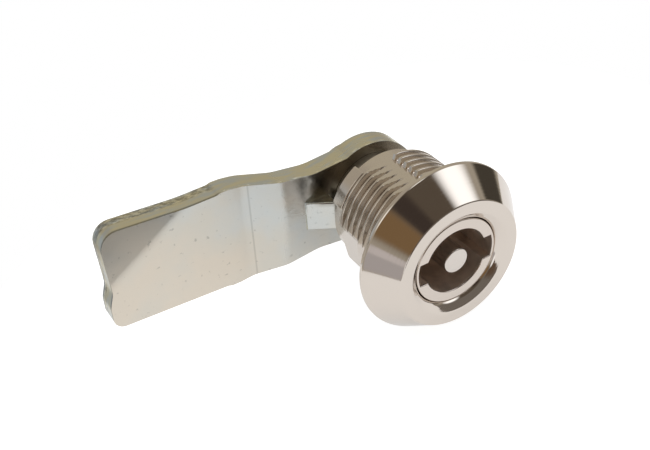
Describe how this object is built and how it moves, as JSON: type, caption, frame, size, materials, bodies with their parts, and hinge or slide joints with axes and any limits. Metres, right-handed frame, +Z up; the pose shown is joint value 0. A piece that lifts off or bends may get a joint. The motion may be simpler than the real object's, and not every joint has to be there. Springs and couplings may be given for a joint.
{
  "type": "cam lock",
  "caption": "Round panel lock with a bevelled collar, threaded barrel, key-turned rotor and a long cranked cam with a bent lead-in corner.",
  "frame": {"origin": "centre of the collar's seat on the panel, on the lock axis", "axes": "+Y along the lock axis, from the front face to the back; +Z up; the flats of the barrel face +X and -X"},
  "size_m": [0.0635, 0.0353, 0.0331],
  "materials": {
    "housing": "polished chrome on zinc die casting",
    "rotor": "chrome plated zinc die casting",
    "pin": "machined steel",
    "seal": "nitrile rubber",
    "cam": "zinc plated pressed steel",
    "fasteners": "zinc plated steel"
  },
  "bodies": {
    "fixed_housing": {"housing": "housing"},
    "turning_cam": {"rotor": "rotor", "guide_pin": "pin", "seal_ring": "seal", "stop_washer": "fasteners", "cam": "cam", "cam_washer": "fasteners", "spring_washer": "fasteners", "cam_screw": "fasteners"}
  },
  "joints": [
    {"name": "cam_turn", "type": "hinge", "parent": "fixed_housing", "child": "turning_cam", "pos_m": [0, 0, 0], "axis": [0, 1, 0], "range_deg": [-12.5, 77.5]}
  ]
}
